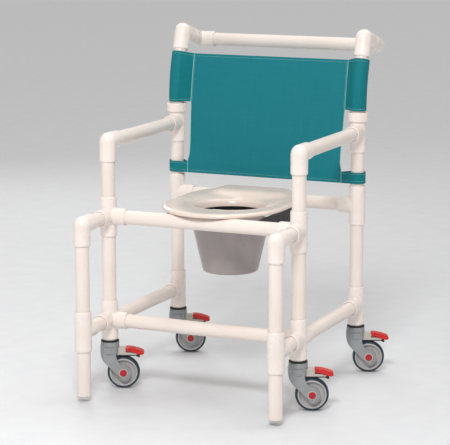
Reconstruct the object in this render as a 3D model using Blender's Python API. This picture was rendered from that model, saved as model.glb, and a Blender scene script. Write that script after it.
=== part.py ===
"""Wheeled commode chair: a frame of PVC tube and slip fittings on four braked swivel casters,
with two fixed front legs, a stretched fabric back, a hinged oval seat and a pail on runners."""
import math

import bmesh
import bpy
from mathutils import Matrix, Vector

# ---- driving dimensions in metres; X across the chair, Y from front to back, Z up ----
TUBE_RADIUS = 0.0211
TUBE_BORE = 0.0175
FITTING_RADIUS = 0.0255
SOCKET_REACH = 0.0615
GAP = 0.0003
SIDES = 12

HALF_WIDTH = 0.311
REAR_Y = 0.484
LEG_Y = -0.171
BASE_Z = 0.215
SEAT_Z = 0.536
ARM_Z = 0.7645
POST_FOOT_Z = 0.1512
LEG_FOOT_Z = 0.018

BACK_TILT = math.radians(16.5)
BACK_BEND_Z = 0.835
BACK_BEND_RADIUS = 0.464
BACK_LENGTH = 0.2272
BAR_SETBACK = 0.1235
COLLAR_RADIUS = 0.032
COLLAR_Z = (0.799, 0.828)

SLING_HALF_WIDTH = 0.264
SLING_FOOT_Z = 0.606
SLING_TAB_TOP_Z = 0.641
SLING_SLEEVE_FOOT_Z = 0.8335
SLING_TOP_Z = 0.985
SLING_TAB_SETBACK = -0.0200
SLING_SLEEVE_SETBACK = 0.0085
SLING_THICKNESS = 0.0022

SEAT_HALF_WIDTH = 0.190
SEAT_CENTRE_Y = 0.170
SEAT_FRONT_REACH = 0.207
SEAT_REAR_REACH = 0.264
SEAT_TOP_Z = 0.571
SEAT_PLATFORM_Z = 0.583
SEAT_RIM_Z = 0.5575
SEAT_SKIRT_Z = 0.535
HOLE_CENTRE_Y = 0.205
HOLE_HALF_WIDTH = 0.105
HOLE_HALF_LENGTH = 0.110
HINGE_Y = 0.446
HINGE_Z = 0.568
HINGE_PIN_RADIUS = 0.004

PAIL_Y = 0.210
PAIL_FLOOR_Z = 0.355
PAIL_RIM_Z = 0.5085
PAIL_FLOOR_RADIUS = 0.086
PAIL_MOUTH_RADIUS = 0.1195
PAIL_FLANGE_RADIUS = 0.143
PAIL_WALL = 0.003
RUNNER_LEDGE_Z = (0.4965, 0.5002)
RUNNER_INNER_X = 0.124
RUNNER_WEB_X = (0.148, 0.152)
RUNNER_TOP_Z = 0.543
RUNNER_END_Y = 0.405
TIE_Y = (0.366, 0.370)
TIE_Z = (0.5105, 0.534)
TIE_HANGER_HALF_WIDTH = 0.045
CLIP_WALL = 0.004

CASTER_TRAIL = 0.041
CASTER_YAW = math.radians(24.2)
WHEEL_RADIUS = 0.050
TYRE_INNER_RADIUS = 0.043
TYRE_HALF_WIDTH = 0.013
AXLE_RADIUS = 0.004
HEAD_RADIUS = 0.0275
HEAD_TOP_Z = 0.1508
STEM_RADIUS = 0.0160
STEM_TOP_Z = 0.200
FORK_REAR_RADIUS = 0.0302
FORK_HALF_WIDTH = 0.0235
FORK_SLOT_HALF_WIDTH = 0.0152
PEDAL_PIVOT = (0.054, 0.1190)
PEDAL_TIP_X = 0.1041
PEDAL_HALF_WIDTH = 0.0155
WHEEL_SIDES = 24

X = Vector((1, 0, 0))
Y = Vector((0, 1, 0))
Z = Vector((0, 0, 1))
LEAN = Vector((0, math.sin(BACK_TILT), math.cos(BACK_TILT)))
REARWARD = Vector((0, math.cos(BACK_TILT), -math.sin(BACK_TILT)))


def back_station(rise):
    """Centre and direction of a rear post at a length along it from where its bend starts."""
    tilt = min(max(rise / BACK_BEND_RADIUS, 0), BACK_TILT)
    direction = Vector((0, math.sin(tilt), math.cos(tilt)))
    centre = BACK_BEND_RADIUS * Vector((0, 1 - math.cos(tilt), math.sin(tilt)))
    return centre + (rise - tilt * BACK_BEND_RADIUS) * direction, direction


# The row frame has its origin on the floor, under the middle of the chair's overall box.
BACK_CORNER = Vector((0, REAR_Y, BACK_BEND_Z)) + back_station(BACK_LENGTH)[0]
BAR_CENTRE = BACK_CORNER + BAR_SETBACK * REARWARD
RIGHT_EDGE_X = (HALF_WIDTH + PEDAL_TIP_X * math.cos(CASTER_YAW)
                + PEDAL_HALF_WIDTH * math.sin(CASTER_YAW))
LEFT_EDGE_X = -HALF_WIDTH - COLLAR_RADIUS
FRONT_EDGE_Y = LEG_Y - FITTING_RADIUS
BACK_EDGE_Y = BAR_CENTRE.y + FITTING_RADIUS * math.cos(BACK_TILT)
ORIGIN = Vector(((LEFT_EDGE_X + RIGHT_EDGE_X) / 2, (FRONT_EDGE_Y + BACK_EDGE_Y) / 2, 0))


# ---- materials ----
def material(name, colour, roughness, metallic=0.0):
    made = bpy.data.materials.new(name)
    made.use_nodes = True
    shader = made.node_tree.nodes["Principled BSDF"]
    shader.inputs["Base Color"].default_value = (*colour, 1)
    shader.inputs["Roughness"].default_value = roughness
    shader.inputs["Metallic"].default_value = metallic
    return made


# ---- mesh helpers ----
def cross_axes(direction):
    """Two axes square to a direction, the same for a direction and its reverse."""
    side = Y if abs(direction.x) > 0.9 else X
    return side, direction.cross(side).normalized()


def circle(centre, direction, radius, sides=SIDES):
    """Points of a circle about a direction."""
    side, up = cross_axes(direction)
    points = []
    for step in range(sides):
        angle = 2 * math.pi * step / sides
        points.append(centre + radius * (math.cos(angle) * side + math.sin(angle) * up))
    return points


def skin(name, loops, closed):
    """A mesh through a row of equal loops: a ring of loops if closed, else capped at both ends."""
    bm = bmesh.new()
    rows = [[bm.verts.new(point) for point in loop] for loop in loops]
    pairs = list(zip(rows, rows[1:]))
    if closed:
        pairs.append((rows[-1], rows[0]))
    else:
        bm.faces.new(rows[0])
        bm.faces.new(rows[-1])
    count = len(rows[0])
    for low, high in pairs:
        for step in range(count):
            after = (step + 1) % count
            bm.faces.new((low[step], low[after], high[after], high[step]))
    bmesh.ops.recalc_face_normals(bm, faces=bm.faces)
    return finished_mesh(bm, name)


def finished_mesh(bm, name):
    mesh = bpy.data.meshes.new(name)
    bm.to_mesh(mesh)
    bm.free()
    return mesh


def rod(start, end, radius, sides=SIDES):
    direction = (end - start).normalized()
    return skin("rod", [circle(p, direction, radius, sides) for p in (start, end)], closed=False)


def turned(name, profile, centre, axis, sides):
    """A closed profile of (radius, height) points turned about an axis."""
    return skin(name, [circle(centre + height * axis, axis, radius, sides)
                       for radius, height in profile], closed=True)


def prism(name, outline, place, half_width):
    """An outline of 2-D points, placed by a function of (a, b, width), between two widths."""
    return skin(name, [[place(a, b, width) for a, b in outline]
                       for width in (-half_width, half_width)], closed=False)


def box(low, high):
    bm = bmesh.new()
    bmesh.ops.create_cube(bm, size=1)
    size = Vector(high) - Vector(low)
    middle = (Vector(high) + Vector(low)) / 2
    place = Matrix.Translation(middle) @ Matrix.Diagonal((*size, 1))
    bmesh.ops.transform(bm, matrix=place, verts=bm.verts)
    return finished_mesh(bm, "box")


def combined(base, tools, operation):
    """The base mesh joined with, or cut by, each tool mesh in turn."""
    body = bpy.data.objects.new("body", base)
    bpy.context.scene.collection.objects.link(body)
    for tool_mesh in tools:
        tool = bpy.data.objects.new("tool", tool_mesh)
        tool.hide_render = True
        tool.display_type = "WIRE"
        bpy.context.scene.collection.objects.link(tool)
        step = body.modifiers.new("step", "BOOLEAN")
        step.operation = operation
        step.object = tool
        view = bpy.context.evaluated_depsgraph_get()
        result = bpy.data.meshes.new_from_object(body.evaluated_get(view))
        body.modifiers.clear()
        body.data = result
        bpy.data.objects.remove(tool)
    bpy.data.objects.remove(body)
    return result


def add(name, mesh, finish, location=(0, 0, 0), parent=None):
    """One named node. Without a parent its location is in chair coordinates."""
    if mesh.users:
        piece = bpy.data.objects.new(name, mesh)
    else:
        mesh.name = name
        mesh.materials.clear()
        mesh.materials.append(finish)
        mesh.shade_smooth()
        mesh.set_sharp_from_angle(angle=math.radians(35))
        piece = bpy.data.objects.new(name, mesh)
    bpy.context.scene.collection.objects.link(piece)
    piece.parent = parent
    piece.location = Vector(location) if parent else Vector(location) - ORIGIN
    return piece


# ---- frame pieces ----
def tube_mesh(stations):
    """A tube through (centre, direction) stations, open at both ends."""
    outer = [circle(centre, direction, TUBE_RADIUS) for centre, direction in stations]
    inner = [circle(centre, direction, TUBE_BORE) for centre, direction in reversed(stations)]
    return skin("tube", outer + inner, closed=True)


def straight_tube(name, start, end, finish):
    start, end = Vector(start), Vector(end)
    direction = (end - start).normalized()
    length = (end - start).length
    stations = [(Vector(), direction), (length * direction, direction)]
    return add(name, tube_mesh(stations), finish, start)


def tee(name, centre, sockets, finish, spigot=None, spigot_end=0.0):
    """A slip fitting with a bore right through for a post, and a socket on each branch.

    A spigot is a length of tube already glued into a branch."""
    post_end = SOCKET_REACH * Z
    branch_start, bore_start = 0.003, 0.005
    outer = []
    bores = [rod(-1.1 * post_end, 1.1 * post_end, TUBE_RADIUS + GAP)]
    for direction in sockets:
        outer.append(rod(branch_start * direction, SOCKET_REACH * direction, FITTING_RADIUS))
        bores.append(rod(bore_start * direction, 1.1 * SOCKET_REACH * direction, TUBE_RADIUS + GAP))
    if spigot:
        outer.append(rod(branch_start * spigot, SOCKET_REACH * spigot, FITTING_RADIUS))
        outer.append(rod(2 * branch_start * spigot, spigot_end * spigot, TUBE_RADIUS))
        bores.append(rod(bore_start * spigot, 1.1 * spigot_end * spigot, TUBE_BORE))
    body = combined(rod(-post_end, post_end, FITTING_RADIUS), outer, "UNION")
    return add(name, combined(body, bores, "DIFFERENCE"), finish, centre)


def elbow_corner(first, second, radius, steps):
    """Rings round a square corner: each line of the wall turns at its own place, so that the
    outside of the bend is round and the inside is tight."""
    inner_fillet = 0.002
    rings = []
    for step in range(steps + 1):
        turn = math.pi / 2 * step / steps
        ring = []
        for line in range(SIDES):
            angle = 2 * math.pi * line / SIDES
            out, side = radius * math.cos(angle), radius * math.sin(angle)
            shift = max(0, -out) + inner_fillet
            facing = -math.cos(turn) * second - math.sin(turn) * first
            ring.append(shift * (first + second) + (out + shift) * facing + side * first.cross(second))
        rings.append(ring)
    return rings


def elbow_end(along, across, reach, radius, square):
    """One ring of an elbow's leg, in step with the corner's rings."""
    ring = []
    for line in range(SIDES):
        angle = 2 * math.pi * line / SIDES
        ring.append(reach * along - radius * math.cos(angle) * across + radius * math.sin(angle) * square)
    return ring


def elbow(name, centre, first, second, finish, spigot_end=0.0):
    """A right-angle slip fitting. With a spigot, its second leg already holds a length of tube."""
    square = first.cross(second)
    socket = TUBE_RADIUS + GAP
    rings = [elbow_end(first, second, SOCKET_REACH, FITTING_RADIUS, square)]
    rings += elbow_corner(first, second, FITTING_RADIUS, 4)
    rings.append(elbow_end(second, first, SOCKET_REACH, FITTING_RADIUS, square))
    if spigot_end:
        rings.append(elbow_end(second, first, SOCKET_REACH, TUBE_RADIUS, square))
        rings.append(elbow_end(second, first, spigot_end, TUBE_RADIUS, square))
        rings.append(elbow_end(second, first, spigot_end, TUBE_BORE, square))
    else:
        rings.append(elbow_end(second, first, SOCKET_REACH, socket, square))
    rings += reversed(elbow_corner(first, second, TUBE_BORE if spigot_end else socket, 2))
    if spigot_end:
        rings.append(elbow_end(first, second, TUBE_RADIUS + GAP, TUBE_BORE, square))
        rings.append(elbow_end(first, second, TUBE_RADIUS + GAP, socket, square))
    rings.append(elbow_end(first, second, SOCKET_REACH, socket, square))
    return add(name, skin("elbow", rings, closed=True), finish, centre)


def bend_rises():
    """Lengths up a rear post at which its one long bend is drawn."""
    steps = 4
    return [BACK_BEND_RADIUS * BACK_TILT * step / steps for step in range(steps + 1)]


def rear_post_mesh():
    """From the caster stem up to the seat back, bent back in one long curve, to the top elbow."""
    rises = [POST_FOOT_Z - BACK_BEND_Z, *bend_rises(), BACK_LENGTH - TUBE_RADIUS - 4 * GAP]
    return tube_mesh([back_station(rise) for rise in rises])


def build_frame(pvc):
    clear = TUBE_RADIUS + 4 * GAP
    for side, sign in (("left", -1), ("right", 1)):
        x = sign * HALF_WIDTH
        inward = -sign * X
        straight_tube(f"front_post_{side}", (x, 0, POST_FOOT_Z), (x, 0, ARM_Z - clear), pvc)
        straight_tube(f"leg_tube_{side}", (x, LEG_Y, LEG_FOOT_Z), (x, LEG_Y, SEAT_Z - clear), pvc)
        straight_tube(f"side_base_rail_{side}", (x, clear, BASE_Z), (x, REAR_Y - clear, BASE_Z), pvc)
        straight_tube(f"armrest_{side}", (x, clear, ARM_Z), (x, REAR_Y - clear, ARM_Z), pvc)
        add(f"rear_post_{side}", rear_post_mesh(), pvc, (x, REAR_Y, BACK_BEND_Z))

        tee(f"base_cross_{side}", (x, 0, BASE_Z), [inward, -Y, Y], pvc)
        tee(f"seat_cross_{side}", (x, 0, SEAT_Z), [inward, -Y], pvc)
        tee(f"rear_base_tee_{side}", (x, REAR_Y, BASE_Z), [-Y], pvc)
        tee(f"rear_seat_tee_{side}", (x, REAR_Y, SEAT_Z), [inward], pvc)
        tee(f"arm_tee_{side}", (x, REAR_Y, ARM_Z), [-Y], pvc)
        elbow(f"arm_elbow_{side}", (x, 0, ARM_Z), -Z, Y, pvc)
        stub_end = -LEG_Y - clear
        tee(f"leg_tee_{side}", (x, LEG_Y, BASE_Z), [], pvc, spigot=Y, spigot_end=stub_end)
        elbow(f"leg_elbow_{side}", (x, LEG_Y, SEAT_Z), -Z, Y, pvc, spigot_end=stub_end)

        elbow(f"back_elbow_{side}", x * X + BACK_CORNER, -LEAN, REARWARD, pvc)
        elbow(f"push_bar_elbow_{side}", x * X + BAR_CENTRE, inward, -REARWARD, pvc,
              spigot_end=BAR_SETBACK - clear)

        bore = FITTING_RADIUS + GAP
        height = COLLAR_Z[1] - COLLAR_Z[0]
        edge = 0.003
        profile = [(bore, 0), (COLLAR_RADIUS - edge, 0), (COLLAR_RADIUS, edge),
                   (COLLAR_RADIUS, height - edge), (COLLAR_RADIUS - edge, height), (bore, height)]
        add(f"back_collar_{side}", turned("collar", profile, Vector(), Z, SIDES), pvc,
            (x, REAR_Y, COLLAR_Z[0]))

    end = HALF_WIDTH - clear
    for name, y, z in (("front_base_rail", 0, BASE_Z), ("front_seat_rail", 0, SEAT_Z),
                       ("rear_seat_rail", REAR_Y, SEAT_Z)):
        straight_tube(name, (-end, y, z), (end, y, z), pvc)
    bar = straight_tube("push_bar", -end * X + BAR_CENTRE, end * X + BAR_CENTRE, pvc)
    bar.rotation_euler.x = -BACK_TILT


# ---- fabric back ----
def panel_setback(rise):
    """How far the flat of the cloth stands behind a post's middle: in front of it at the tabs, and
    a little behind it at the sleeves."""
    tab_top, sleeve_foot = SLING_TAB_TOP_Z - BACK_BEND_Z, SLING_SLEEVE_FOOT_Z - BACK_BEND_Z
    share = min(max((rise - tab_top) / (sleeve_foot - tab_top), 0), 1)
    return SLING_TAB_SETBACK + share * (SLING_SLEEVE_SETBACK - SLING_TAB_SETBACK)


def sleeve_loop(sign, radius, rise):
    """Round the post and drawn to a point at the seam, like a pocket pulled tight."""
    centre, direction = back_station(rise)
    outward, rearward = sign * X, direction.cross(X)
    setback = panel_setback(rise)
    seam_lap = 0.006
    across = HALF_WIDTH - SLING_HALF_WIDTH + seam_lap
    towards = math.atan2(setback, -across)
    spread = math.acos(radius / math.hypot(across, setback))
    start, end = towards + spread - 2 * math.pi, towards - spread
    seam = setback * rearward - across * outward
    half_tip = 0.0016 * rearward
    arc = []
    turn = 10
    for step in range(turn + 1):
        angle = start + (end - start) * step / turn
        arc.append(radius * (math.cos(angle) * outward + math.sin(angle) * rearward))
    return [centre + point for point in [seam + half_tip, seam - half_tip] + arc]


def sleeve_mesh(sign, rises):
    """A pocket of cloth along a post, with room for the post inside."""
    inner_radius = TUBE_RADIUS + 3 * GAP
    outer_radius = inner_radius + SLING_THICKNESS
    outer = skin("outer", [sleeve_loop(sign, outer_radius, rise) for rise in rises], closed=False)
    reach = 0.01
    core_rises = [rises[0] - reach, *rises[1:-1], rises[-1] + reach]
    stations = [back_station(rise) for rise in core_rises]
    core = skin("core", [circle(centre, direction, inner_radius) for centre, direction in stations],
                closed=False)
    return combined(outer, [core], "DIFFERENCE")


def build_sling(cloth):
    """A flat panel between the posts, with a tab round each post below and a sleeve above."""
    foot, tab_top = SLING_FOOT_Z - BACK_BEND_Z, SLING_TAB_TOP_Z - BACK_BEND_Z
    sleeve_foot = SLING_SLEEVE_FOOT_Z - BACK_BEND_Z
    bend_end = bend_rises()[-1]
    top = bend_end + (SLING_TOP_Z - BACK_BEND_Z - back_station(bend_end)[0].z) / LEAN.z
    front, back = [], []
    for rise in [foot, tab_top, sleeve_foot, *bend_rises()[1:], top]:
        centre, direction = back_station(rise)
        rearward = direction.cross(X)
        half_thickness = SLING_THICKNESS / 2
        front.append(centre + (panel_setback(rise) - half_thickness) * rearward)
        back.append(centre + (panel_setback(rise) + half_thickness) * rearward)
    profile = front + back[::-1]
    width = SLING_HALF_WIDTH
    panel = skin("panel", [[point + x * X for point in profile] for x in (-width, width)], closed=False)
    hem = 0.0006
    pockets = []
    for sign in (-1, 1):
        for rises in ([foot + hem, tab_top], [sleeve_foot, *bend_rises(), top - hem]):
            pocket = sleeve_mesh(sign, rises)
            pocket.transform(Matrix.Translation(sign * HALF_WIDTH * X))
            pockets.append(pocket)
    add("back_sling", combined(panel, pockets, "UNION"), cloth, (0, REAR_Y, BACK_BEND_Z))


# ---- seat, hinge, pail ----
def seat_point(angle, half_width, front, rear, squareness):
    """A point of an oval with a round front and a squared rear, about the seat's centre."""
    power = 2 / squareness if math.sin(angle) > 0 else 1
    across = math.copysign(abs(math.cos(angle)) ** power, math.cos(angle))
    along = math.copysign(abs(math.sin(angle)) ** power, math.sin(angle))
    return half_width * across, (rear if along > 0 else front) * along


def seat_loop(inset, height, platform, steps):
    """The outline at an inset and height; the rear middle is lifted to the platform height."""
    loop = []
    for step in range(steps):
        angle = 2 * math.pi * (step + 0.5) / steps
        x, y = seat_point(angle, SEAT_HALF_WIDTH - inset, SEAT_FRONT_REACH - inset,
                          SEAT_REAR_REACH - inset, 4.5)
        flat_half_width, ramp = 0.095, 0.055
        across = min(max((flat_half_width + ramp - abs(x)) / ramp, 0), 1)
        along = min(max((y - 0.09) / 0.06, 0), 1)
        lift = (platform - height) * across * along
        loop.append(Vector((x, y + SEAT_CENTRE_Y, height + lift)))
    return loop


def hole_loop(flare, height, steps):
    loop = []
    for step in range(steps):
        angle = 2 * math.pi * (step + 0.5) / steps
        loop.append(Vector(((HOLE_HALF_WIDTH + flare) * math.cos(angle),
                            HOLE_CENTRE_Y + (HOLE_HALF_LENGTH + flare) * math.sin(angle), height)))
    return loop


def build_seat(plastic):
    steps = 32
    crown = SEAT_TOP_Z
    loops = [
        seat_loop(0.004, SEAT_RIM_Z, SEAT_RIM_Z, steps),
        seat_loop(0.0, SEAT_RIM_Z + 0.005, SEAT_RIM_Z + 0.006, steps),
        seat_loop(0.003, crown - 0.005, SEAT_PLATFORM_Z - 0.004, steps),
        seat_loop(0.014, crown, SEAT_PLATFORM_Z, steps),
        hole_loop(0.020, crown - 0.004, steps),
        hole_loop(0.006, crown - 0.008, steps),
        hole_loop(0.0, crown - 0.013, steps),
        hole_loop(0.001, SEAT_SKIRT_Z, steps),
        hole_loop(0.006, SEAT_SKIRT_Z, steps),
        hole_loop(0.010, SEAT_RIM_Z, steps),
    ]
    seat = skin("seat", loops, closed=True)
    lug_half_width, lug_radius, lug_x = 0.010, 0.0090, 0.045
    pin = Vector((0, HINGE_Y, HINGE_Z))
    lugs = []
    for sign in (-1, 1):
        middle = pin + sign * lug_x * X
        lugs.append(rod(middle - lug_half_width * X, middle + lug_half_width * X, lug_radius, 12))
        low = middle + Vector((-lug_half_width, -0.020, -0.0070))
        lugs.append(box(low, middle + Vector((lug_half_width, 0, 0.0070))))
    reach = 0.1
    bore = rod(pin - reach * X, pin + reach * X, HINGE_PIN_RADIUS + 0.0004, 12)
    seat = combined(seat, lugs, "UNION")
    seat = combined(seat, [bore], "DIFFERENCE")
    seat.transform(Matrix.Translation(-pin))
    add("commode_seat", seat, plastic, pin)


def build_hinge(plastic, steel):
    """A clip over the rear rail with four ears that hold the seat's hinge pin."""
    pin = Vector((0, HINGE_Y, HINGE_Z))
    rail = Vector((0, REAR_Y, SEAT_Z))
    half_length = 0.072
    inner = TUBE_RADIUS + GAP
    clip = rod(rail - half_length * X, rail + half_length * X, inner + CLIP_WALL)
    ear_half_width, ear_radius, ear_thickness = 0.003, 0.0075, 0.005
    towards = (rail - pin).normalized()
    square = towards.cross(X)
    ears = []
    for x in (-0.059, -0.031, 0.031, 0.059):
        middle = pin + x * X
        ears.append(rod(middle - ear_half_width * X, middle + ear_half_width * X, ear_radius, 12))
        outline = [pin + ear_thickness * square, rail + ear_thickness * square,
                   rail - ear_thickness * square, pin - ear_thickness * square]
        ears.append(skin("web", [[p + (x + w) * X for p in outline]
                                 for w in (-ear_half_width, ear_half_width)], closed=False))
    clip = combined(clip, ears, "UNION")
    reach = 0.1
    core = rod(rail - reach * X, rail + reach * X, inner)
    mouth = box((-reach, REAR_Y + 0.002, SEAT_Z - 0.04), (reach, REAR_Y + 0.04, SEAT_Z - 0.012))
    bore = rod(pin - reach * X, pin + reach * X, HINGE_PIN_RADIUS + GAP, 12)
    add("seat_hinge_clip", combined(clip, [core, mouth, bore], "DIFFERENCE"), plastic)
    half_pin = 0.066
    add("seat_hinge_pin", rod(-half_pin * X, half_pin * X, HINGE_PIN_RADIUS, 12), steel, pin)


def build_pail(plastic):
    rise = PAIL_RIM_Z - PAIL_FLOOR_Z
    corner = 0.006
    sides = 24
    outside = [(PAIL_FLOOR_RADIUS - corner, 0), (PAIL_FLOOR_RADIUS, corner),
               (PAIL_MOUTH_RADIUS - 0.001, rise - 0.007), (PAIL_FLANGE_RADIUS, rise - 0.007),
               (PAIL_FLANGE_RADIUS, rise - 0.003), (PAIL_MOUTH_RADIUS, rise),
               (PAIL_MOUTH_RADIUS - PAIL_WALL, rise)]
    inside = [(PAIL_FLOOR_RADIUS - PAIL_WALL, corner + PAIL_WALL),
              (PAIL_FLOOR_RADIUS - corner - PAIL_WALL, PAIL_WALL)]
    loops = [circle(height * Z, Z, radius, sides) for radius, height in outside + inside]
    add("pail", skin("pail", loops, closed=False), plastic, (0, PAIL_Y, PAIL_FLOOR_Z))


def build_runners(plastic):
    """An L-shaped ledge under each side of the pail's flange, and a tie between the two.

    Each runner is notched over the front rail, and its front end is cut away below, clear of the
    sitter's legs. The tie hangs from the hinge clip, so the pail slides out backwards below it."""
    lower, upper = RUNNER_LEDGE_Z
    rail_bottom = SEAT_Z - TUBE_RADIUS
    ledge_start = 0.125
    step_back, notch = 0.020, 0.029
    outline = [(0, rail_bottom + 0.001), (ledge_start - step_back, rail_bottom + 0.001),
               (ledge_start, lower), (RUNNER_END_Y, lower), (RUNNER_END_Y, RUNNER_TOP_Z),
               (notch, RUNNER_TOP_Z), (notch, SEAT_Z), (0, SEAT_Z)]
    web_inner, web_outer = RUNNER_WEB_X
    half_web = (web_outer - web_inner) / 2
    rail = rod(Vector((-0.2, 0, SEAT_Z)), Vector((0.2, 0, SEAT_Z)), TUBE_RADIUS + 2 * GAP)
    for side, sign in (("left", -1), ("right", 1)):
        middle = sign * (web_outer + web_inner) / 2
        web = prism("web", outline, lambda y, z, x: Vector((middle + x, y, z)), half_web)
        low_x, high_x = sorted((sign * RUNNER_INNER_X, middle))
        ledge = box((low_x, ledge_start + GAP, lower + GAP), (high_x, RUNNER_END_Y - GAP, upper))
        runner = combined(combined(web, [rail], "DIFFERENCE"), [ledge], "UNION")
        add(f"pail_runner_{side}", runner, plastic)
    tie_end = web_inner - GAP
    strip = box((-tie_end, TIE_Y[0], TIE_Z[0]), (tie_end, TIE_Y[1], TIE_Z[1]))
    thickness = TIE_Y[1] - TIE_Y[0]
    clip_front = REAR_Y - TUBE_RADIUS - 2 * GAP - CLIP_WALL
    hanger = box((-TIE_HANGER_HALF_WIDTH, TIE_Y[0] + thickness / 2, TIE_Z[1] - thickness),
                 (TIE_HANGER_HALF_WIDTH, clip_front, TIE_Z[1] - GAP))
    add("runner_tie", combined(strip, [hanger], "UNION"), plastic)


# ---- casters; x runs along the trail, y across, z up, from the swivel axis on the floor ----
def side_view(x, z, y):
    return Vector((x, y, z))


def arc_points(centre, radius, start, end, steps):
    points = []
    for step in range(steps + 1):
        angle = math.radians(start + (end - start) * step / steps)
        points.append((centre[0] + radius * math.cos(angle), centre[1] + radius * math.sin(angle)))
    return points


def fork_mesh():
    axle = Vector((CASTER_TRAIL, 0, WHEEL_RADIUS))
    boss_radius = 0.022
    boss = [(0.043, 0.0235)] + arc_points((axle.x, axle.z), boss_radius, -50, 70, 6)
    leg = [(-0.0275, 0.140), (-0.0302, 0.127), (-0.0298, 0.116), (-0.0258, 0.097), (-0.0097, 0.0757)]
    crook = [(0.0300, 0.0775), (0.0185, 0.0880), (0.0182, 0.140)]
    cheeks = prism("cheeks", leg + boss + crook, side_view, FORK_HALF_WIDTH)
    slot_radius = WHEEL_RADIUS + 0.0035
    slot = rod(axle - FORK_SLOT_HALF_WIDTH * Y, axle + FORK_SLOT_HALF_WIDTH * Y, slot_radius, 24)
    canopy = [(0.0, 0.1040), (0.080, 0.1040), (0.085, 0.1075), (0.0480, 0.1130),
              (0.0478, 0.1265), (0.030, 0.1278), (0.0, 0.1278)]
    cap = prism("canopy", canopy, side_view, PEDAL_HALF_WIDTH - 0.0045)
    head = turned_solid([(HEAD_RADIUS, 0.112), (HEAD_RADIUS + 0.001, 0.1295),
                         (HEAD_RADIUS - 0.0008, 0.1310), (HEAD_RADIUS, 0.1325),
                         (HEAD_RADIUS, 0.1455), (HEAD_RADIUS - 0.001, HEAD_TOP_Z),
                         (STEM_RADIUS, HEAD_TOP_Z), (STEM_RADIUS, STEM_TOP_Z)], 16)
    pin = rod(axle - FORK_HALF_WIDTH * Y, axle + FORK_HALF_WIDTH * Y, AXLE_RADIUS, 12)
    corner = math.degrees(math.asin(FORK_HALF_WIDTH / FORK_REAR_RADIUS))
    front = WHEEL_RADIUS + CASTER_TRAIL
    plan = arc_points((0, 0), FORK_REAR_RADIUS, 180 - corner, 180 + corner, 6)
    plan += [(front, -FORK_HALF_WIDTH), (front, FORK_HALF_WIDTH)]
    rounding = prism("plan", plan, lambda x, y, z: Vector((x, y, HEAD_TOP_Z / 2 + z)), HEAD_TOP_Z)
    cheeks = combined(cheeks, [rounding], "INTERSECT")
    body = combined(cheeks, [head, cap], "UNION")
    body = combined(body, [slot], "DIFFERENCE")
    return combined(body, [pin], "UNION")


def turned_solid(profile, sides):
    return skin("turned", [circle(z * Z, Z, radius, sides) for radius, z in profile], closed=False)


def wheel_mesh():
    bore, hub, hub_half = AXLE_RADIUS + 0.0005, 0.013, 0.0148
    web_half, rim_inner, rim_outer = 0.0058, 0.038, TYRE_INNER_RADIUS - GAP
    rim_half = TYRE_HALF_WIDTH - 0.001
    half = [(bore, hub_half), (hub, hub_half), (hub + 0.001, web_half), (rim_inner, web_half),
            (rim_inner + 0.001, rim_half), (rim_outer, rim_half)]
    profile = half + [(radius, -width) for radius, width in reversed(half)]
    return turned("wheel", profile, Vector(), Y, WHEEL_SIDES)


def tyre_mesh():
    shoulder = TYRE_HALF_WIDTH
    half = [(TYRE_INNER_RADIUS, shoulder), (WHEEL_RADIUS - 0.003, shoulder),
            (WHEEL_RADIUS, shoulder - 0.004)]
    profile = half + [(radius, -width) for radius, width in reversed(half)]
    return turned("tyre", profile, Vector(), Y, WHEEL_SIDES)


def pedal_mesh():
    """A cap over the canopy: a curved top plate, a rounded nose and a cheek down each side."""
    px, pz = PEDAL_PIVOT
    outer = [(0.0487, 0.1185), (0.0487, 0.1282), (0.0620, 0.1275), (0.0800, 0.1242), (0.0946, 0.1196),
             (0.1020, 0.1160), (PEDAL_TIP_X, 0.1118), (0.1020, 0.1075), (0.0967, 0.1052),
             (0.0860, 0.1075), (0.0740, 0.1125)]
    inner = [(0.0400, 0.1050), (0.0400, 0.1242), (0.0620, 0.1236), (0.0790, 0.1200), (0.0910, 0.1155),
             (0.0910, 0.1000)]
    shell = prism("pedal", outer, side_view, PEDAL_HALF_WIDTH)
    room = prism("room", inner, side_view, PEDAL_HALF_WIDTH - 0.0035)
    mesh = combined(shell, [room], "DIFFERENCE")
    mesh.transform(Matrix.Translation((-px, 0, -pz)))
    return mesh


def build_casters(grey, tread, red):
    fork, wheel, tyre, pedal = fork_mesh(), wheel_mesh(), tyre_mesh(), pedal_mesh()
    axle = (CASTER_TRAIL, 0, WHEEL_RADIUS)
    for end, y in (("front", 0), ("rear", REAR_Y)):
        for side, sign in (("left", -1), ("right", 1)):
            corner = f"{end}_{side}"
            swivel = bpy.data.objects.new(f"swivel_axis_{corner}", None)
            bpy.context.scene.collection.objects.link(swivel)
            swivel.location = Vector((sign * HALF_WIDTH, y, 0)) - ORIGIN
            swivel.rotation_euler.z = CASTER_YAW
            add(f"caster_fork_{corner}", fork, grey, parent=swivel)
            add(f"caster_wheel_{corner}", wheel, grey, axle, swivel)
            add(f"caster_tyre_{corner}", tyre, tread, axle, swivel)
            add(f"brake_pedal_{corner}", pedal, red, (PEDAL_PIVOT[0], 0, PEDAL_PIVOT[1]), swivel)


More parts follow.
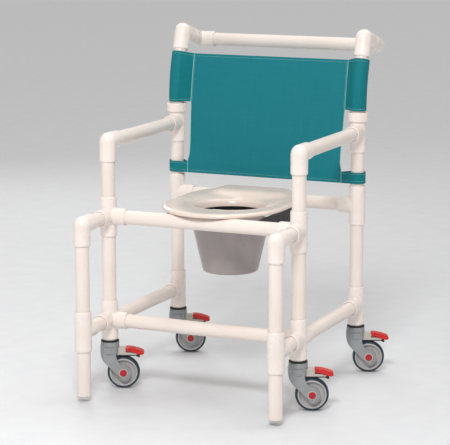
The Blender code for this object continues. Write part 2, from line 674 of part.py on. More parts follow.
def main():
    for old in list(bpy.data.objects):
        bpy.data.objects.remove(old, do_unlink=True)
    pvc = material("pvc_white", (0.87, 0.81, 0.76), 0.25)
    build_frame(pvc)
    build_sling(material("sling_teal", (0.03, 0.22, 0.26), 0.8))
    seat_plastic = material("seat_beige", (0.68, 0.61, 0.52), 0.2)
    build_seat(seat_plastic)
    build_hinge(seat_plastic, material("pin_steel", (0.6, 0.6, 0.6), 0.3, metallic=1.0))
    build_pail(material("pail_grey", (0.30, 0.28, 0.27), 0.35))
    build_runners(material("runner_black", (0.02, 0.02, 0.022), 0.45))
    build_casters(material("caster_grey", (0.26, 0.28, 0.30), 0.4),
                  material("tread_blue_grey", (0.03, 0.06, 0.09), 0.6),
                  material("pedal_red", (0.62, 0.03, 0.03), 0.35))


main()
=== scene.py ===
"""The finished look of the wheeled commode chair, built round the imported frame.

Every frame tube and fitting, the fabric back, the seat, the pail and the casters are finished
pieces that stand where the frame's plain solids are. Lengths are in metres."""
from math import acos, asin, atan2, copysign, cos, degrees, dist, exp, hypot, pi, radians, sin, tau

import bmesh
import bpy
from mathutils import Matrix, Vector


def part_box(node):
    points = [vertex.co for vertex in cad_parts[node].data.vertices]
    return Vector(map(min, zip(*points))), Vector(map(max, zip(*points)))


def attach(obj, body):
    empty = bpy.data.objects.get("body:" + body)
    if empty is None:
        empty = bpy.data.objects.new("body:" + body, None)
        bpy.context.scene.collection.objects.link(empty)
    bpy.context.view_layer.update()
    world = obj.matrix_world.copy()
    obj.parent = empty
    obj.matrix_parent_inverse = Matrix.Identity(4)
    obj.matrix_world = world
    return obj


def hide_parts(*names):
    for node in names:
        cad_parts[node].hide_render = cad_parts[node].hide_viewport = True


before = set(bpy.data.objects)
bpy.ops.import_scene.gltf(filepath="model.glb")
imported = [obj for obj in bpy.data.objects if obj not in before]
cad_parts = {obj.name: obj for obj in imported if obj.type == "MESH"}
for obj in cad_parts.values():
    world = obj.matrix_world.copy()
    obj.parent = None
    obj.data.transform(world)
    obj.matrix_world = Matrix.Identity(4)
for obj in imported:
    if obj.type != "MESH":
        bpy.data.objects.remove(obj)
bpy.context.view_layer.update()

X, Y, Z = Vector((1, 0, 0)), Vector((0, 1, 0)), Vector((0, 0, 1))


# ---- the frame's own measures ----
def middle(node):
    low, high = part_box(node)
    return (low + high) / 2


def extent(node):
    low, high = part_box(node)
    return high - low


HALF_WIDTH = (middle("front_post_right").x - middle("front_post_left").x) / 2
# The chair's own zero: on the floor, midway between the front posts.
BASE = (middle("front_post_left") + middle("front_post_right")) / 2
BASE.z = 0
TUBE_RADIUS = extent("front_post_left").x / 2
FITTING_RADIUS = extent("arm_elbow_left").x / 2
COLLAR_RADIUS = extent("back_collar_left").x / 2
BASE_Z = middle("front_base_rail").z
SEAT_Z = middle("front_seat_rail").z
ARM_Z = middle("armrest_left").z
REAR_Y = middle("rear_seat_rail").y - BASE.y
LEG_Y = middle("leg_tube_left").y - BASE.y
POST_FOOT_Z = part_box("front_post_left")[0].z
LEG_FOOT_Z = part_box("leg_tube_left")[0].z
SOCKET_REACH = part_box("base_cross_left")[1].z - BASE_Z
COLLAR_Z = [corner.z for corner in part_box("back_collar_left")]
PAIL_Y = middle("pail").y - BASE.y
PAIL_Z = [corner.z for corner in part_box("pail")]
PAIL_FLANGE_RADIUS = extent("pail").x / 2

# ---- measures that the boxes don't give ----
TUBE_BORE = 0.0175
SOCKET_BORE = TUBE_RADIUS + 0.0003
SIDES = 48
TILT = radians(16.5)
# The rear posts bend back in one long arc from this height.
BEND_Z = 0.835
BEND_RADIUS = 0.464
LEAN = Vector((0, sin(TILT), cos(TILT)))
REARWARD = Vector((0, cos(TILT), -sin(TILT)))
BACK_LENGTH = 0.2272
BAR_SETBACK = 0.1235
# A fitting's mouth: (distance in from the end, radius), from the end inwards.
MOUTH = [(0.0, FITTING_RADIUS - 0.0024), (0.0006, FITTING_RADIUS - 0.0016),
         (0.0018, FITTING_RADIUS - 0.0008), (0.0035, FITTING_RADIUS - 0.0003), (0.006, FITTING_RADIUS)]
# Its bore widens a little at the mouth, which leaves a dark line round the tube.
BORE_MOUTH = [(0.0, SOCKET_BORE + 0.001), (0.002, SOCKET_BORE + 0.001), (0.0024, SOCKET_BORE)]

# The casters have all swung the same way.
CASTER_YAW = radians(24.2)
CASTER_TRAIL = 0.041
WHEEL_RADIUS = 0.05


def chair(x, y, z):
    """A point in the chair's own measures, put in the row frame."""
    return BASE + Vector((x, y, z))


def back_station(rise):
    """Centre and direction of a rear post, at a length along it from its bend's start."""
    tilt = min(max(rise / BEND_RADIUS, 0), TILT)
    direction = Vector((0, sin(tilt), cos(tilt)))
    centre = BEND_RADIUS * Vector((0, 1 - cos(tilt), sin(tilt)))
    return centre + (rise - tilt * BEND_RADIUS) * direction, direction


# ---- materials ----
def srgb(red, green, blue):
    """A linear colour from 8-bit display values."""
    shares = [value / 255 for value in (red, green, blue)]
    return [c / 12.92 if c <= 0.04045 else ((c + 0.055) / 1.055) ** 2.4 for c in shares] + [1]


class Finish:
    """A material being built: its nodes, and short ways to add and join them."""

    def __init__(self, name, **constants):
        self.material = bpy.data.materials.new(name)
        self.material.use_nodes = True
        self.tree = self.material.node_tree
        self.shader = self.tree.nodes["Principled BSDF"]
        for socket, value in constants.items():
            self.shader.inputs[socket.replace("_", " ")].default_value = value
        self.places = self.tree.nodes.new("ShaderNodeTexCoord")

    def node(self, kind, settings=None, **inputs):
        made = self.tree.nodes.new("ShaderNode" + kind)
        for name, value in (settings or {}).items():
            setattr(made, name, value)
        for name, value in inputs.items():
            self.give(made.inputs[name.replace("_", " ")], value)
        return made

    def give(self, socket, value):
        if isinstance(value, bpy.types.NodeSocket):
            self.tree.links.new(value, socket)
        else:
            socket.default_value = value

    def noise(self, scale, detail=3.0, stretch=(1, 1, 1), where="Object", rough=0.5):
        """Clouds with `scale` cells a metre, stretched along each axis."""
        placed = self.node("Mapping", Vector=self.places.outputs[where], Scale=stretch)
        made = self.node("TexNoise", Vector=placed.outputs["Vector"], Scale=scale, Detail=detail,
                         Roughness=rough)
        return made.outputs["Fac"]

    def between(self, share, low=0.0, high=1.0):
        """A number from a share that runs about 0.3 to 0.7, as noise does."""
        made = self.node("MapRange", Value=share, From_Min=0.3, From_Max=0.7, To_Min=low, To_Max=high)
        return made.outputs["Result"]

    def mix(self, share, first, second):
        """A colour between two, which are the node's inputs 6 and 7."""
        made = self.node("Mix", {"data_type": "RGBA"})
        for socket, value in ((0, share), (6, first), (7, second)):
            self.give(made.inputs[socket], value)
        return made.outputs[2]

    def sums(self, operation, first, second):
        made = self.node("Math", {"operation": operation})
        self.give(made.inputs[0], first)
        self.give(made.inputs[1], second)
        return made.outputs[0]

    def bump(self, height, distance, strength=1.0):
        made = self.node("Bump", Height=height, Distance=distance, Strength=strength)
        self.tree.links.new(made.outputs["Normal"], self.shader.inputs["Normal"])

    def colour(self, value):
        self.give(self.shader.inputs["Base Color"], value)

    def roughness(self, value):
        self.give(self.shader.inputs["Roughness"], value)


def moulded(name, colour, shade, roughness, grain=900, depth=0.00004, **constants):
    """Moulded plastic: cloudy colour, patchy gloss and a fine pebbled skin."""
    finish = Finish(name, **constants)
    clouds = finish.noise(14, detail=4)
    finish.colour(finish.mix(finish.between(clouds), srgb(*colour), srgb(*shade)))
    patches = finish.noise(38, detail=5, rough=0.6)
    finish.roughness(finish.between(patches, roughness[0], roughness[1]))
    finish.bump(finish.noise(grain, detail=2), depth)
    return finish.material


def extruded_pvc():
    """Tube stock: faint lines drawn along its length."""
    finish = Finish("pvc_tube", Specular_IOR_Level=0.5)
    lines = finish.noise(1.0, detail=3, stretch=(900, 6, 1), where="UV")
    clouds = finish.noise(9, detail=4)
    warm = finish.mix(finish.between(clouds), srgb(249, 239, 232), srgb(243, 230, 221))
    finish.colour(finish.mix(finish.between(lines, 0.0, 0.35), warm, srgb(236, 222, 211)))
    finish.roughness(finish.between(lines, 0.24, 0.36))
    finish.bump(lines, 0.00006)
    return finish.material


def sling_cloth():
    """Coated mesh cloth: a plain weave of round threads, with slubs along both sets of threads."""
    finish = Finish("sling_cloth", Specular_IOR_Level=0.22, Sheen_Weight=0.04, Sheen_Roughness=0.4)
    finish.shader.inputs["Sheen Tint"].default_value = srgb(150, 220, 215)
    threads = 1250
    ribs = []
    for direction, stretch in (("X", (threads, 0, 0)), ("Y", (0, threads, 0))):
        placed = finish.node("Mapping", Vector=finish.places.outputs["UV"], Scale=stretch)
        wave = finish.node("TexWave", {"bands_direction": direction, "wave_profile": "SIN"},
                           Vector=placed.outputs["Vector"], Scale=1.0, Distortion=0.0)
        ribs.append(wave.outputs["Fac"])
    weave = finish.sums("MAXIMUM", ribs[0], ribs[1])
    slubs_across = finish.noise(1.0, detail=4, stretch=(9, 260, 1), where="UV", rough=0.65)
    slubs_along = finish.noise(1.0, detail=4, stretch=(260, 9, 1), where="UV", rough=0.65)
    slubs = finish.sums("ADD", slubs_across, slubs_along)
    slubs = finish.sums("MULTIPLY", slubs, 0.5)
    face = finish.mix(finish.between(slubs, -0.3, 1.3), srgb(16, 136, 152), srgb(58, 170, 182))
    face = finish.mix(finish.sums("MULTIPLY", weave, 0.25), srgb(6, 112, 122), face)
    # The wrapped pockets and tabs are painted darker: partly for their double layer of cloth, partly as
    # painted shade.
    wrapped = finish.node("Attribute", {"attribute_name": "wrapped"}).outputs["Fac"]
    pocket_double_layer_and_shade = finish.mix(finish.between(slubs), srgb(2, 112, 120), srgb(10, 127, 135))
    finish.colour(finish.mix(wrapped, face, pocket_double_layer_and_shade))
    finish.roughness(finish.between(slubs, 0.5, 0.68))
    finish.bump(finish.sums("ADD", weave, slubs), 0.00025, 0.5)
    return finish.material


def steel():
    finish = Finish("brushed_steel", Metallic=1.0)
    lines = finish.noise(1.0, detail=3, stretch=(4, 900, 900))
    finish.colour(finish.mix(finish.between(lines), srgb(180, 182, 185), srgb(150, 152, 156)))
    finish.roughness(finish.between(lines, 0.25, 0.42))
    finish.bump(lines, 0.00003)
    return finish.material


def tread_rubber():
    """Dark blue-grey rubber, scuffed lighter where it rolls."""
    finish = Finish("tread_rubber")
    scuffs = finish.noise(160, detail=6, rough=0.7)
    finish.colour(finish.mix(finish.between(scuffs, 0.0, 0.7), srgb(22, 40, 56), srgb(58, 74, 88)))
    finish.roughness(finish.between(scuffs, 0.42, 0.65))
    finish.bump(finish.noise(1400, detail=2), 0.00008)
    return finish.material


PVC_TUBE = extruded_pvc()
PVC_FITTING = moulded("pvc_fitting", (250, 241, 235), (244, 232, 224), (0.24, 0.36), grain=420,
                      depth=0.00006)
CLOTH = sling_cloth()
THREAD = moulded("sling_thread", (160, 214, 205), (128, 190, 184), (0.5, 0.7), grain=3000)
SEAT_PLASTIC = moulded("seat_beige", (240, 225, 214), (231, 214, 203), (0.16, 0.28), grain=300, depth=0.00005,
                       Coat_Weight=0.25, Coat_Roughness=0.12)
PAIL_PLASTIC = moulded("pail_grey", (178, 169, 168), (164, 156, 155), (0.26, 0.4), grain=1100, depth=0.00006)
# Black of the runners; on the runner tie the same black is painted shade.
RUNNER_BLACK_AND_SHADE = moulded("runner_black", (16, 18, 24), (10, 11, 15), (0.38, 0.55))
CASTER_PLASTIC = moulded("caster_grey", (158, 161, 163), (142, 146, 149), (0.34, 0.5), grain=1500,
                         depth=0.00006)
LEVER_PLASTIC = moulded("lever_grey", (202, 197, 188), (188, 183, 174), (0.34, 0.5), grain=1500)
WHEEL_PLASTIC = moulded("wheel_grey", (196, 193, 192), (180, 178, 178), (0.3, 0.46), grain=1500)
PEDAL_PLASTIC = moulded("pedal_red", (216, 24, 20), (192, 16, 16), (0.22, 0.36), grain=1200)
CAP_PLASTIC = moulded("cap_red", (188, 26, 46), (168, 20, 38), (0.26, 0.4), grain=1200)
BLACK_PLASTIC = moulded("ring_black", (18, 18, 20), (28, 28, 30), (0.4, 0.6))
TREAD_RUBBER = tread_rubber()
PIN_STEEL = steel()


# ---- mesh helpers ----
def finished(bm, name, crease=40):
    """A mesh from a bmesh, shaded smooth except along its hard edges."""
    mesh = bpy.data.meshes.new(name)
    bm.to_mesh(mesh)
    bm.free()
    mesh.shade_smooth()
    mesh.set_sharp_from_angle(angle=radians(crease))
    return mesh


def linked(name, data):
    """A new object in the scene."""
    made = bpy.data.objects.new(name, data)
    bpy.context.scene.collection.objects.link(made)
    return made


def piece(name, mesh, finish, body, stands_for=(), place=None):
    """One finished piece, put in place and riding on its body."""
    made = linked(name, mesh)
    made.matrix_world = place if place else Matrix.Identity(4)
    if not mesh.materials:
        mesh.materials.append(finish)
    weighting = made.modifiers.new("shading", "WEIGHTED_NORMAL")
    weighting.keep_sharp = True
    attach(made, body)
    if stands_for:
        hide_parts(*stands_for)
    return made


def soften(made, width, segments=3):
    """Rounded edges on a piece with flat faces."""
    bevel = made.modifiers.new("edges", "BEVEL")
    bevel.width = width
    bevel.segments = segments
    bevel.limit_method = "ANGLE"
    bevel.angle_limit = radians(35)
    made.modifiers.move(len(made.modifiers) - 1, 0)


def full_turn(count):
    """Angles that divide a full turn equally."""
    return [tau * step / count for step in range(count)]


def ring(centre, axis, radius, sides=SIDES):
    side = Y if abs(axis.x) > 0.9 else X
    up = axis.cross(side).normalized()
    return [centre + radius * (cos(a) * side + sin(a) * up) for a in full_turn(sides)]


def loft(name, rings, closed=False, crease=40):
    """Quads through equal rings: closed round to the first, or capped at both ends.

    The UV map is in metres: round the rings, and from ring to ring."""
    bm = bmesh.new()
    count = len(rings[0])
    rows = [[bm.verts.new(point) for point in loop] for loop in rings]
    around = [0.0]
    for step in range(count):
        around.append(around[-1] + (rings[0][step] - rings[0][(step + 1) % count]).length)
    along = [0.0]
    for low, high in zip(rings, rings[1:] + rings[:1]):
        along.append(along[-1] + (low[0] - high[0]).length)
    layer = bm.loops.layers.uv.new("UVMap")
    for index in range(len(rows) if closed else len(rows) - 1):
        low, high = rows[index], rows[(index + 1) % len(rows)]
        for step in range(count):
            after = (step + 1) % count
            face = bm.faces.new((low[step], low[after], high[after], high[step]))
            corners = ((step, 0), (step + 1, 0), (step + 1, 1), (step, 1))
            for loop, (turn, rise) in zip(face.loops, corners):
                loop[layer].uv = (around[turn], along[index + rise])
    if not closed:
        bm.faces.new(rows[0])
        bm.faces.new(rows[-1])
    bmesh.ops.recalc_face_normals(bm, faces=bm.faces)
    return finished(bm, name, crease)


def turned(name, profile, axis=Z, sides=96, closed=True, crease=40):
    """A profile of (radius, height) points turned about an axis."""
    rings = [ring(height * axis, axis, radius, sides) for radius, height in profile]
    return loft(name, rings, closed, crease)


def arc(centre, radius, start, end, steps):
    """Points round a circle between two angles in degrees."""
    return [(centre[0] + radius * cos(a), centre[1] + radius * sin(a))
            for a in (radians(start + (end - start) * step / steps) for step in range(steps + 1))]


def tube_mesh(stations):
    """A tube through (centre, direction) stations, with softened cut ends."""
    edge = 0.0007
    (start, first), (end, last) = stations[0], stations[-1]
    inset = [(start + edge * first, first), *stations[1:-1], (end - edge * last, last)]
    rings = [ring(start, first, TUBE_RADIUS - edge)]
    rings += [ring(centre, direction, TUBE_RADIUS) for centre, direction in inset]
    rings += [ring(end, last, TUBE_RADIUS - edge), ring(end, last, TUBE_BORE + edge)]
    rings += [ring(centre, direction, TUBE_BORE) for centre, direction in reversed(inset)]
    rings.append(ring(start, first, TUBE_BORE + edge))
    return loft("tube", rings, closed=True)


def straight_tube(name, start, end, stands_for=()):
    direction = (end - start).normalized()
    mesh = tube_mesh([(start, direction), (end, direction)])
    return piece(name, mesh, PVC_TUBE, "frame", stands_for)


def joined(bm, loops):
    """Quads between neighbouring closed loops; returns the loops' corners."""
    rows = [[bm.verts.new(point) for point in loop] for loop in loops]
    count = len(loops[0])
    for low, high in zip(rows, rows[1:]):
        for step in range(count):
            after = (step + 1) % count
            bm.faces.new((low[step], low[after], high[after], high[step]))
    return rows


def corner_wall(first, second, angle, radius, fillet, mouth):
    """A line of a fitting's wall: in from one socket, round the corner and out of the next."""
    near = radius * cos(angle)
    lift = radius * sin(angle) * first.cross(second)
    steps = 6

    def lip(along, across):
        return [(SOCKET_REACH - back) * along + (near * across + lift) * (lip_radius / radius)
                for back, lip_radius in mouth]

    centre = (near + fillet) * (first + second) + lift
    turns = [pi / 2 * step / steps for step in range(steps + 1)]
    round_corner = [centre - fillet * (cos(turn) * second + sin(turn) * first) for turn in turns]
    return lip(first, second) + round_corner + lip(second, first)[::-1]


def through_wall(axis, offset, radius, fillet, mouth):
    """A line of a fitting's wall, straight from one socket to the opposite one."""
    ends = [(SOCKET_REACH - back, lip_radius / radius) for back, lip_radius in mouth]
    front = [reach * axis + share * offset for reach, share in ends]
    back = [-reach * axis + share * offset for reach, share in reversed(ends)]
    return front + [fillet * axis + offset, -fillet * axis + offset] + back


def fitting_mesh(sockets):
    """A slip fitting with square sockets, made from the lines of its wall, outside and bore."""
    outer_fillet, bore_fillet = 0.0045, 0.001
    outside = (FITTING_RADIUS, outer_fillet, MOUTH)
    bore = (SOCKET_BORE, bore_fillet, BORE_MOUTH)
    quarter = SIDES // 4
    step = pi / 2 / quarter
    bm = bmesh.new()

    def is_socket(direction):
        return any((direction - socket).length < 0.01 for socket in sockets)

    for index, first in enumerate(sockets):
        for second in sockets[index + 1:]:
            if abs(first.dot(second)) > 0.5:
                continue
            across = first.cross(second)
            low = -(quarter // 2 if is_socket(-across) else quarter)
            high = quarter // 2 if is_socket(across) else quarter
            angles = [turn * step for turn in range(low, high + 1)]
            joined(bm, [corner_wall(first, second, angle, *outside)
                        + corner_wall(first, second, angle, *bore)[::-1] for angle in angles])
        if is_socket(-first) and first.x + first.y + first.z > 0:
            side = Y if abs(first.x) > 0.5 else X
            up = first.cross(side)
            for one, other in ((side, up), (up, -side), (-side, -up), (-up, side)):
                if is_socket(one) or is_socket(other):
                    continue
                facings = [cos(turn * step) * one + sin(turn * step) * other
                           for turn in range(quarter + 1)]
                joined(bm, [through_wall(first, FITTING_RADIUS * facing, *outside)
                            + through_wall(first, SOCKET_BORE * facing, *bore)[::-1] for facing in facings])
    bmesh.ops.remove_doubles(bm, verts=bm.verts, dist=0.00001)
    holes = [edge for edge in bm.edges if edge.is_boundary]
    filled = bmesh.ops.holes_fill(bm, edges=holes, sides=0)["faces"]
    bmesh.ops.poke(bm, faces=filled)
    bmesh.ops.recalc_face_normals(bm, faces=bm.faces)
    return finished(bm, "fitting")


def elbow_mesh(first, second):
    """A right-angle slip fitting: round outside the bend and tight inside it."""
    square = first.cross(second)

    def leg(along, across, mouth):
        return [[(SOCKET_REACH - back) * along - radius * cos(a) * across + radius * sin(a) * square
                 for a in full_turn(SIDES)] for back, radius in mouth]

    def bend(radius, fillet, steps):
        rings = []
        for step in range(steps + 1):
            turn = pi / 2 * step / steps
            facing = -cos(turn) * second - sin(turn) * first
            loop = []
            for angle in full_turn(SIDES):
                out, side = radius * cos(angle), radius * sin(angle)
                shift = max(0.0, -out) + fillet
                loop.append(shift * (first + second) + (out + shift) * facing + side * square)
            rings.append(loop)
        return rings

    outer_fillet, bore_fillet = 0.0035, 0.002
    rings = leg(first, second, MOUTH) + bend(FITTING_RADIUS, outer_fillet, 14)
    rings += leg(second, first, MOUTH[::-1]) + leg(second, first, BORE_MOUTH)
    rings += bend(SOCKET_BORE, bore_fillet, 6)[::-1] + leg(first, second, BORE_MOUTH[::-1])
    return loft("elbow", rings, closed=True)


# ---- frame ----
def fitting(name, mesh, centre):
    return piece(name + "_fitting", mesh, PVC_FITTING, "frame", [name], Matrix.Translation(centre))


def rear_post_stations(x):
    """Stations up a rear post and round its long bend."""
    steps = 16
    rises = [POST_FOOT_Z - BEND_Z]
    rises += [BEND_RADIUS * TILT * step / steps for step in range(steps + 1)]
    rises.append(BACK_LENGTH - TUBE_RADIUS)
    foot = chair(x, REAR_Y, BEND_Z)
    return [(foot + centre, direction) for centre, direction in map(back_station, rises)]


def collar_mesh():
    edge = 0.0035
    bore = FITTING_RADIUS + 0.0003
    height = COLLAR_Z[1] - COLLAR_Z[0]
    profile = [(bore, 0), (COLLAR_RADIUS - edge, 0)]
    for start, base in ((-90, edge), (0, height - edge)):
        profile += arc((COLLAR_RADIUS - edge, base), edge, start, start + 90, 6)
    profile.append((bore, height))
    return turned("collar", profile)


def build_frame():
    """Every tube and fitting; a tube stops `clear` of the axis that it meets."""
    clear = TUBE_RADIUS + 0.001
    for side, sign in (("left", -1), ("right", 1)):
        x = sign * HALF_WIDTH
        inward = -sign * X
        runs = {
            "front_post": ((0, POST_FOOT_Z), (0, ARM_Z - clear)),
            "leg_tube": ((LEG_Y, LEG_FOOT_Z), (LEG_Y, SEAT_Z - clear)),
            "side_base_rail": ((clear, BASE_Z), (REAR_Y - clear, BASE_Z)),
            "armrest": ((clear, ARM_Z), (REAR_Y - clear, ARM_Z)),
        }
        for name, (start, end) in runs.items():
            straight_tube(f"{name}_{side}_tube", chair(x, *start), chair(x, *end), [f"{name}_{side}"])
        piece(f"rear_post_{side}_tube", tube_mesh(rear_post_stations(x)), PVC_TUBE, "frame",
              [f"rear_post_{side}"])
        for name, z in (("leg_tee", BASE_Z), ("leg_elbow", SEAT_Z)):
            straight_tube(f"{name}_{side}_stub", chair(x, LEG_Y + clear, z), chair(x, -clear, z))

        corner = chair(x, REAR_Y, BEND_Z) + back_station(BACK_LENGTH)[0]
        bar_end = corner + BAR_SETBACK * REARWARD
        straight_tube(f"push_bar_{side}_stub", corner + clear * REARWARD, bar_end - clear * REARWARD)
        fittings = {
            "base_cross": ([Z, -Z, inward, Y, -Y], chair(x, 0, BASE_Z)),
            "seat_cross": ([Z, -Z, inward, -Y], chair(x, 0, SEAT_Z)),
            "leg_tee": ([Z, -Z, Y], chair(x, LEG_Y, BASE_Z)),
            "rear_base_tee": ([Z, -Z, -Y], chair(x, REAR_Y, BASE_Z)),
            "rear_seat_tee": ([Z, -Z, inward], chair(x, REAR_Y, SEAT_Z)),
            "arm_tee": ([Z, -Z, -Y], chair(x, REAR_Y, ARM_Z)),
            "arm_elbow": ([-Z, Y], chair(x, 0, ARM_Z)),
            "leg_elbow": ([-Z, Y], chair(x, LEG_Y, SEAT_Z)),
            "back_elbow": ([-LEAN, REARWARD], corner),
            "push_bar_elbow": ([inward, -REARWARD], bar_end),
        }
        for name, (sockets, centre) in fittings.items():
            mesh = elbow_mesh(*sockets) if len(sockets) == 2 else fitting_mesh(sockets)
            fitting(f"{name}_{side}", mesh, centre)
        fitting(f"back_collar_{side}", collar_mesh(), chair(x, REAR_Y, COLLAR_Z[0]))

    end = HALF_WIDTH - clear
    for name, y, z in (("front_base_rail", 0, BASE_Z), ("front_seat_rail", 0, SEAT_Z),
                       ("rear_seat_rail", REAR_Y, SEAT_Z)):
        straight_tube(f"{name}_tube", chair(-end, y, z), chair(end, y, z), [name])
    bar = chair(0, REAR_Y, BEND_Z) + back_station(BACK_LENGTH)[0] + BAR_SETBACK * REARWARD
    straight_tube("push_bar_tube", bar - end * X, bar + end * X, ["push_bar"])


# ---- fabric back; rises run along the posts from where their bend starts ----
SEAM_X = 0.2645
CLOTH_THICKNESS = 0.0014
POCKET_RADIUS = 0.025
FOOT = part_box("back_sling")[0].z - BEND_Z
TAB_TOP = -0.194
POCKET_FOOT = -0.0015
TOP = 0.156
CLOTH_LENGTH = TOP - FOOT
# Where the columns of the panel's right half stand.
PANEL_COLUMNS = [SEAM_X * step / 30 for step in range(30)] + [SEAM_X - 0.002, SEAM_X]
# The hems' folds, as distances in from the panel's foot and top.
HEM_ROWS = [0.0, 0.0015, 0.0085, 0.0105]


def ease(value, low, high):
    share = min(max((value - low) / (high - low), 0), 1)
    return share * share * (3 - 2 * share)


def lerp(first, second, share):
    return tuple(a + (b - a) * share for a, b in zip(first, second))


def cloth_point(x, behind, rise):
    """A point of the cloth: across the chair, behind the posts' middles, and up along them."""
    centre, direction = back_station(rise)
    return chair(x, REAR_Y, BEND_Z) + centre + behind * direction.cross(X)


def panel_setback(rise):
    """How far the flat of the cloth stands behind the posts' middles: in front at the tabs, and a
    little behind at the sleeves, where it's drawn straight across the posts' curve."""
    if rise < TAB_TOP:
        return -0.0205 + 0.001 * (rise - FOOT) / (TAB_TOP - FOOT)
    if rise < POCKET_FOOT:
        return -0.0195 + 0.027 * (rise - TAB_TOP) / (POCKET_FOOT - TAB_TOP)
    share = (rise - POCKET_FOOT) / (TOP - POCKET_FOOT)
    return 0.0075 + 0.0025 * share + 0.018 * share * (1 - share)


def edge_pull(rise):
    """How far the free edge between tab and sleeve is drawn in from the line of the seam."""
    down = 1 - 0.75 * ease(rise, TAB_TOP + 0.03, POCKET_FOOT)
    start = ease(rise, TAB_TOP, TAB_TOP + 0.03)
    end = 1 - ease(rise, POCKET_FOOT - 0.012, POCKET_FOOT)
    return 0.0055 * down * start * end


def ripple(x, rise):
    """How far the taut cloth stands forward: hems, a shallow belly and pulls from the corners."""
    inner = max(0.0, 1 - (x / SEAM_X) ** 2)
    folds = 0.0005 * ease(rise, TOP - 0.09, TOP) * sin(x * 47 + 0.6) * inner
    folds += 0.0004 * sin(x * 31 + rise * 22) * inner
    from_corner = hypot(SEAM_X - x, rise - TAB_TOP)
    round_corner = atan2(rise - TAB_TOP, SEAM_X - x)
    folds += 0.001 * exp(-from_corner / 0.07) * sin(6.4 * round_corner) * inner
    hem = 1 - ease(min(rise - FOOT, TOP - rise), 0.0088, 0.0102)
    return folds + 0.0006 * hem


def half_section(rise):
    """The right half of the cloth at a rise, as (across, behind the posts' middles) points: the
    panel out to its seam, then round the post and back to the seam."""
    behind = panel_setback(rise)
    pulled = edge_pull(rise)
    points = [(x - pulled * ease(x, 0.7 * SEAM_X, SEAM_X), behind - ripple(x, rise)) for x in PANEL_COLUMNS]
    across = HALF_WIDTH - SEAM_X
    towards = atan2(behind, -across)
    spread = acos(POCKET_RADIUS / hypot(across, behind))
    start, end = towards + spread - tau, towards - spread
    turns = [start + (end - start) * step / 30 for step in range(31)]
    post = [(HALF_WIDTH + POCKET_RADIUS * cos(a), POCKET_RADIUS * sin(a)) for a in turns]
    rear_seam = (SEAM_X, behind + 1.15 * CLOTH_THICKNESS)
    points += [lerp(points[-1], post[0], share) for share in (0.06, 0.3, 0.65)]
    points += post
    points += [lerp(post[-1], rear_seam, share) for share in (0.25, 0.5, 0.75, 1)]
    return points


def section(rise):
    """The whole cloth at a rise, from its left rear seam to its right one, as (across, behind,
    flat distance from the middle)."""
    half = half_section(rise)
    runs = [0.0]
    for before, after in zip(half, half[1:]):
        runs.append(runs[-1] + dist(before, after))
    right = [(*point, run) for point, run in zip(half, runs)]
    return [(-x, behind, -run) for x, behind, run in right[:0:-1]] + right


def sling_rows():
    """Rises of the rows: closer together along the hems."""
    rows = {FOOT + rise for rise in HEM_ROWS} | {TOP - rise for rise in HEM_ROWS} | {TAB_TOP, POCKET_FOOT}
    for low, high, count in ((FOOT + HEM_ROWS[-1], TAB_TOP, 4), (TAB_TOP, POCKET_FOOT, 34),
                             (POCKET_FOOT, TOP - HEM_ROWS[-1], 22)):
        rows.update(low + (high - low) * step / count for step in range(1, count))
    return sorted(rows)


def build_sling():
    bm = bmesh.new()
    layer = bm.loops.layers.uv.new("UVMap")
    shade = bm.verts.layers.float.new("wrapped")
    rows = sling_rows()
    sections = {rise: section(rise) for rise in rows}
    count = len(sections[FOOT])
    panel_start = (count - 1) // 2 - len(PANEL_COLUMNS) + 1
    panel_end = count - 1 - panel_start
    grid, flats = {}, {}
    for low, high in zip(rows, rows[1:]):
        band = range(panel_start, panel_end) if TAB_TOP <= low < POCKET_FOOT else range(count - 1)
        for first in band:
            corners = [(first, low), (first + 1, low), (first + 1, high), (first, high)]
            for column, rise in corners:
                if (column, rise) not in grid:
                    x, behind, run = sections[rise][column]
                    vertex = bm.verts.new(cloth_point(x, behind, rise))
                    # Wrapped columns get 1, and the cloth paints them darker: partly for the double layer,
                    # partly as painted shade.
                    vertex[shade] = 0.0 if panel_start <= column <= panel_end else 1.0
                    grid[column, rise] = vertex
                    flats[vertex] = (run, rise)
            face = bm.faces.new([grid[corner] for corner in corners])
            for loop in face.loops:
                loop[layer].uv = flats[loop.vert]
    bmesh.ops.recalc_face_normals(bm, faces=bm.faces)
    sling = piece("sling_cloth", finished(bm, "sling", crease=80), CLOTH, "frame", ["back_sling"])
    thick = sling.modifiers.new("thickness", "SOLIDIFY")
    thick.thickness = CLOTH_THICKNESS
    thick.offset = 0
    sling.modifiers.move(1, 0)
    threads = [build_piping(), build_stitches()]


def strung(bm, rings):
    """A thread through rings of points, closed at both ends."""
    rows = joined(bm, rings)
    bm.faces.new(rows[0])
    bm.faces.new(rows[-1])


def build_piping():
    """A thin cord sewn along each long seam and the free edge below it."""
    bm = bmesh.new()
    radius, sides, steps = 0.0012, 8, 90
    for sign in (-1, 1):
        rings = []
        for step in range(steps + 1):
            rise = FOOT + 0.001 + (CLOTH_LENGTH - 0.002) * step / steps
            x = sign * (SEAM_X - edge_pull(rise))
            behind = panel_setback(rise) - ripple(SEAM_X, rise) - CLOTH_THICKNESS / 2 - 0.3 * radius
            rings.append([cloth_point(x + radius * cos(a), behind + radius * sin(a), rise)
                          for a in full_turn(sides)])
        strung(bm, rings)
    bmesh.ops.recalc_face_normals(bm, faces=bm.faces)
    return piece("sling_piping", finished(bm, "piping"), THREAD, "frame")


def cloth_at(run, rise):
    """A point of the cloth's middle layer at a flat distance from the chair's middle."""
    half = half_section(rise)
    left = abs(run)
    for before, after in zip(half, half[1:]):
        step = dist(before, after)
        if left <= step:
            break
        left -= step
    x, behind = lerp(before, after, left / step)
    return cloth_point(copysign(x, run), behind, rise)


